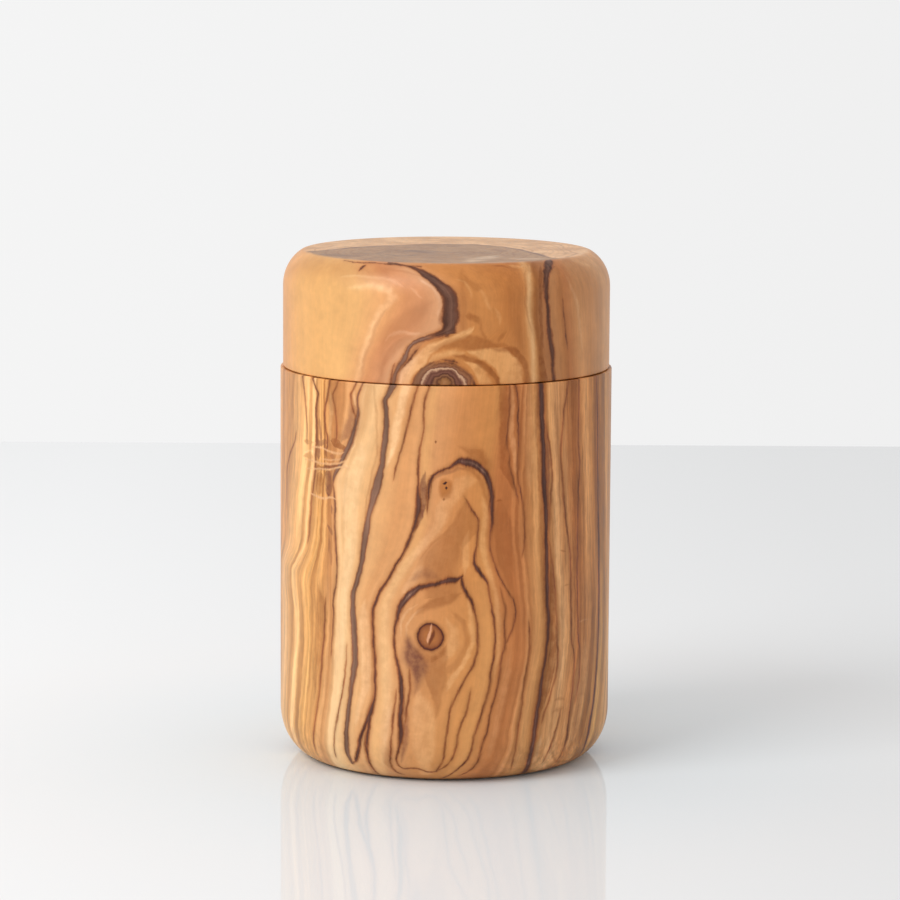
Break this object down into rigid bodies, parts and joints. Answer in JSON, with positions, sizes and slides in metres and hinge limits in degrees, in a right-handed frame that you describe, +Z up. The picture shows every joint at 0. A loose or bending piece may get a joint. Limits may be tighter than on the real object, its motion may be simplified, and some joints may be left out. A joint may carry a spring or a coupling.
{
  "type": "spice box",
  "caption": "Turned wooden spice box: a hollow cylindrical body with a rounded base and a neck, and a deep round-shouldered lid that lifts off.",
  "frame": {"origin": "centre of the flat base, on the turning axis", "axes": "+Z up along the turning axis, towards the lid; +Y away from the side with the eye-shaped figure, which faces -Y"},
  "size_m": [0.065, 0.065, 0.1],
  "materials": {
    "body_wood": "oiled olive wood, satin, sanded smooth",
    "lid_wood": "oiled olive wood, satin, sanded smooth"
  },
  "bodies": {
    "body": {"jar_body": "body_wood"},
    "lid": {"lid": "lid_wood"}
  },
  "joints": [
    {"name": "lid_lift", "type": "slide", "parent": "body", "child": "lid", "axis": [0, 0, 1], "range_m": [0, 0.065]}
  ]
}
